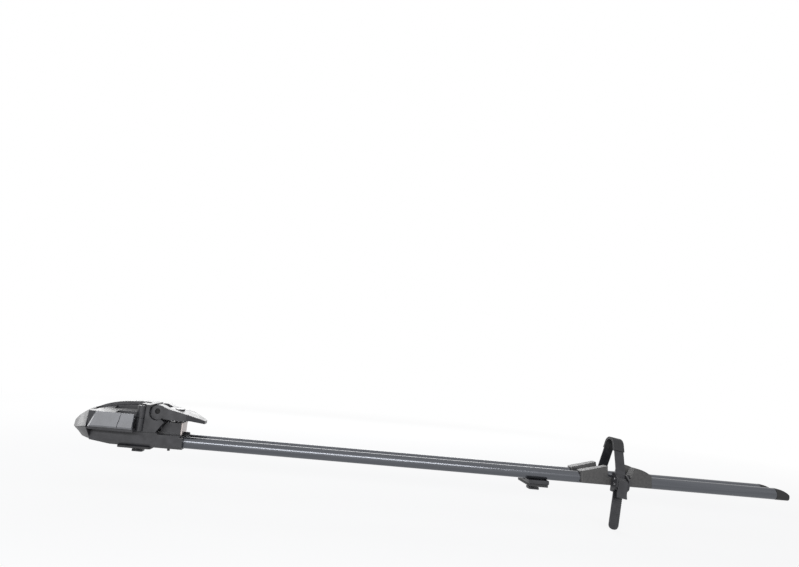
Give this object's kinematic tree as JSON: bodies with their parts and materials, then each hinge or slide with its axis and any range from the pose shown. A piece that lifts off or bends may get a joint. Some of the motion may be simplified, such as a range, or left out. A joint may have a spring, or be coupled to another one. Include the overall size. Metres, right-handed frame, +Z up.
{
  "type": "roof mounted bike carrier",
  "caption": "Fork-mount roof carrier for one bicycle: streamlined clamp head with cam lever, twin oval rails, sliding rear foot clamp, sliding wheel cradle with ratchet strap.",
  "frame": {"origin": "middle of the front foot pad's underside, where the head stands on the front cross bar", "axes": "+X rearwards along the rails, +Y to the carrier's right hand side seen from behind, +Z up"},
  "size_m": [1.394, 0.148, 0.1651],
  "materials": {
    "moulded_black": "finely textured glass-filled nylon",
    "panel_black": "satin moulded side panel",
    "anodised_rail": "dark satin anodised extrusion",
    "plated_steel": "zinc plated",
    "bright_plate": "bright pressed plate",
    "mill_aluminium": "mill finish",
    "soft_rubber": "matte moulded rubber",
    "strap_plastic": "smooth flexible plastic",
    "cast_zinc": "die-cast zinc"
  },
  "bodies": {
    "carrier": {"rail_left": "anodised_rail", "rail_right": "anodised_rail", "end_cap_left": "moulded_black", "end_cap_right": "moulded_black", "head_base": "moulded_black", "front_pad": "soft_rubber", "rail_bolts": "plated_steel", "nose_cap": "moulded_black", "side_panel_left": "panel_black", "side_panel_right": "panel_black", "head_shell": "moulded_black", "clamp_tower": "moulded_black", "fork_post_left": "moulded_black", "fork_post_right": "moulded_black", "half_axle_left": "plated_steel", "half_axle_right": "plated_steel", "latch_block": "moulded_black", "catch_plate": "bright_plate"},
    "draw_slider": {"draw_block": "plated_steel", "draw_rod": "plated_steel", "swivel_eye": "moulded_black"},
    "lever": {"cam_lever": "moulded_black"},
    "dial": {"adjuster_dial": "moulded_black"},
    "lock": {"lock_barrel": "plated_steel"},
    "left_jaw": {"jaw_left": "plated_steel"},
    "right_jaw": {"jaw_right": "plated_steel"},
    "screw": {"clamp_screw": "plated_steel"},
    "wedge": {"clamp_wedge": "cast_zinc"},
    "foot_bolt": {"front_t_bolt": "plated_steel", "clamp_cross_pin": "plated_steel"},
    "rear_clamp": {"rear_bracket": "moulded_black", "rear_pad": "soft_rubber", "rear_slide_plate": "mill_aluminium", "rear_t_bolt": "plated_steel", "rear_washer": "plated_steel"},
    "clamp_nut": {"rear_nut": "plated_steel"},
    "cradle": {"cradle_body": "moulded_black", "tyre_liner_front": "soft_rubber", "tyre_liner_rear": "soft_rubber", "cradle_slide_plate": "mill_aluminium", "cradle_screws": "plated_steel", "ratchet_strap": "strap_plastic", "strap_rivet": "plated_steel", "rim_sleeve": "soft_rubber", "buckle_frame": "moulded_black", "buckle_rivets": "plated_steel", "buckle_pins": "plated_steel"},
    "thumb": {"thumb_lever": "moulded_black"},
    "pawl": {"release_pawl": "moulded_black"}
  },
  "joints": [
    {"name": "draw_slide", "type": "slide", "parent": "carrier", "child": "draw_slider", "axis": [1, 0, 0], "range_m": [-0.001, 0]},
    {"name": "lever_pivot", "type": "hinge", "parent": "draw_slider", "child": "lever", "pos_m": [0.035, 0, 0.07], "axis": [0, -1, 0], "range_deg": [0, 90]},
    {"name": "left_jaw_slide", "type": "slide", "parent": "carrier", "child": "left_jaw", "axis": [0, -1, 0], "range_m": [0, 0.0025]},
    {"name": "right_jaw_slide", "type": "slide", "parent": "carrier", "child": "right_jaw", "axis": [0, 1, 0], "range_m": [0, 0.0025]},
    {"name": "dial_spin", "type": "hinge", "parent": "draw_slider", "child": "dial", "pos_m": [0.027, 0, 0.07], "axis": [1, 0, 0], "continuous": true},
    {"name": "lock_turn", "type": "hinge", "parent": "lever", "child": "lock", "pos_m": [0.068, 0, 0.066], "axis": [0, 0, 1], "range_deg": [0, 90]},
    {"name": "clamp_screw_turn", "type": "hinge", "parent": "carrier", "child": "screw", "pos_m": [0.06, 0, 0.0275], "axis": [1, 0, 0], "range_deg": [0, 2160]},
    {"name": "wedge_slide", "type": "slide", "parent": "carrier", "child": "wedge", "axis": [-1, 0, 0], "range_m": [0, 0.006]},
    {"name": "foot_bolt_slide", "type": "slide", "parent": "carrier", "child": "foot_bolt", "axis": [0, 0, -1], "range_m": [0, 0.0015]},
    {"name": "rear_clamp_slide", "type": "slide", "parent": "carrier", "child": "rear_clamp", "axis": [1, 0, 0], "range_m": [-0.35, 0.03]},
    {"name": "rear_nut_spin", "type": "hinge", "parent": "rear_clamp", "child": "clamp_nut", "pos_m": [0.77, 0, 0.0163], "axis": [0, 0, 1], "continuous": true},
    {"name": "cradle_slide", "type": "slide", "parent": "carrier", "child": "cradle", "axis": [1, 0, 0], "range_m": [-0.03, 0.22]},
    {"name": "thumb_lever_pivot", "type": "hinge", "parent": "cradle", "child": "thumb", "pos_m": [0.92504, -0.0456, 0.02007], "axis": [-0.989, 0, 0.1478], "range_deg": [0, 55]},
    {"name": "release_pawl_pivot", "type": "hinge", "parent": "cradle", "child": "pawl", "pos_m": [0.92363, -0.0474, 0.01068], "axis": [0.989, 0, -0.1478], "range_deg": [0, 15], "stiffness_Nm_per_rad": 0.01}
  ],
  "couplings": [
    {"joint": "draw_slide", "follows": "lever_pivot", "m_per_rad": -0.000636},
    {"joint": "left_jaw_slide", "follows": "lever_pivot", "m_per_rad": 0.00159},
    {"joint": "right_jaw_slide", "follows": "lever_pivot", "m_per_rad": 0.00159},
    {"joint": "clamp_screw_turn", "follows": "wedge_slide", "rad_per_m": 6283.2},
    {"joint": "foot_bolt_slide", "follows": "wedge_slide", "ratio": 0.25}
  ]
}
